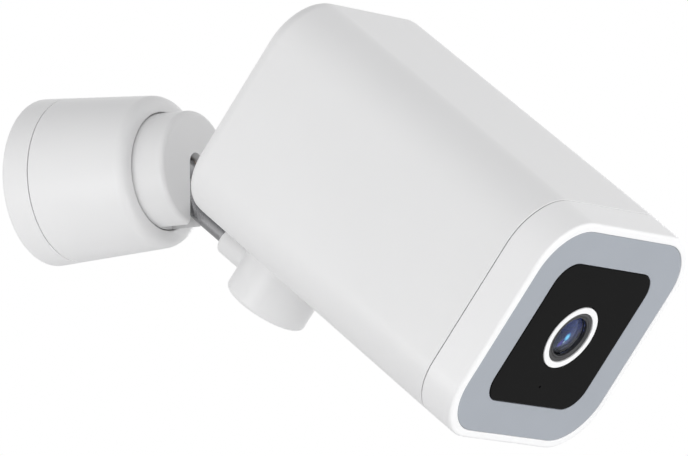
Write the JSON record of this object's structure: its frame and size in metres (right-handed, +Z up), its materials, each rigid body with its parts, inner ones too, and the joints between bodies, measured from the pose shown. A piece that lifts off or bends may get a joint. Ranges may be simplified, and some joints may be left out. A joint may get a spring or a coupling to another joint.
{
  "type": "floodlight security camera",
  "caption": "Wall-mounted security camera with a framing floodlight on its square front and a jointed arm that swivels, tilts and pans.",
  "frame": {"origin": "centre of the wall plate's back face, on the wall", "axes": "+Y into the wall along the neck's swivel axis, +Z up, the camera stands out along -Y and looks down its own length"},
  "size_m": [0.07, 0.1897, 0.1193],
  "materials": {
    "white_casing": "satin moulded plastic",
    "white_rim": "smooth bright white plastic",
    "grey_rubber": "matte moulded silicone",
    "black_rubber": "matte",
    "steel": "plated",
    "spring_steel": "satin",
    "bronze": "satin bearing bronze",
    "satin_metal": "satin brushed",
    "aluminium_sink": "satin cast",
    "component_metal": "tinned",
    "dark_nylon": "satin",
    "component_black": "satin",
    "barrel_black": "satin anodised",
    "circuit_board": "semi-gloss solder mask",
    "white_board": "semi-gloss solder mask",
    "white_reflector": "gloss",
    "transformer": "taped winding",
    "terminal_green": "satin",
    "lead_jacket": "matte",
    "diffuser_plastic": "satin translucent",
    "led_yellow": "phosphor",
    "black_panel": "smooth black",
    "lens_glass": "coated glass",
    "sensor": "glass on silicon"
  },
  "bodies": {
    "base": {"mounting_plate": "white_casing", "wall_gasket": "grey_rubber", "cable_grommet": "grey_rubber", "base_shell": "white_casing", "base_lock_screws": "steel", "power_board": "circuit_board", "power_transformer": "transformer", "power_capacitors": "component_black", "terminal_block": "terminal_green", "power_board_screws": "steel"},
    "neck": {"neck_drum": "white_casing", "neck_retainer": "dark_nylon", "neck_retainer_screws": "steel", "neck_friction_washer": "spring_steel", "neck_o_ring": "black_rubber", "tilt_pin": "steel", "tilt_pin_plug": "white_casing"},
    "arm": {"arm_knuckle": "satin_metal", "knuckle_washers": "bronze", "arm_tube": "satin_metal", "arm_lead": "lead_jacket", "pan_hub": "white_casing", "hub_cap": "white_casing", "hub_grub_screw": "steel", "pan_o_ring": "black_rubber"},
    "head": {"pan_stud": "satin_metal", "pan_nut": "steel", "pan_friction_washer": "spring_steel", "pan_stud_screws": "steel", "head_shell": "white_casing", "front_bezel": "white_rim", "bezel_seal": "grey_rubber", "diffuser": "diffuser_plastic", "light_reflector": "white_reflector", "light_board": "white_board", "flood_leds": "led_yellow", "front_panel": "black_panel", "panel_frame": "component_black", "lens_ring": "white_rim", "lens_barrel": "barrel_black", "lens_front_glass": "lens_glass", "lens_rear_glass": "lens_glass", "lens_holder": "component_black", "image_sensor": "sensor", "camera_board": "circuit_board", "camera_board_screws": "steel", "infrared_board": "circuit_board", "infrared_leds": "component_black", "microphone": "component_metal", "microphone_boot": "black_rubber", "heat_sink": "aluminium_sink", "heat_sink_screws": "steel", "main_board": "circuit_board", "main_chips": "component_black", "radio_can": "component_metal", "speaker": "component_black", "access_board": "circuit_board", "card_socket": "component_metal", "card_cover": "grey_rubber"},
    "setup_button": {"setup_button": "grey_rubber"}
  },
  "joints": [
    {"name": "neck_swivel", "type": "hinge", "parent": "base", "child": "neck", "pos_m": [0, 0, 0], "axis": [0, 1, 0], "range_deg": [-165, 165]},
    {"name": "arm_tilt", "type": "hinge", "parent": "neck", "child": "arm", "pos_m": [0, -0.0435, 0], "axis": [1, 0, 0], "range_deg": [-33, 32]},
    {"name": "head_pan", "type": "hinge", "parent": "arm", "child": "head", "pos_m": [0, -0.07948, -0.02882], "axis": [0, -0.6252, 0.7804], "range_deg": [-90, 90]},
    {"name": "button_press", "type": "slide", "parent": "head", "child": "setup_button", "axis": [0, -0.6252, 0.7804], "range_m": [0, 0.0007], "stiffness_N_per_m": 400, "springref_m": -0.001}
  ]
}
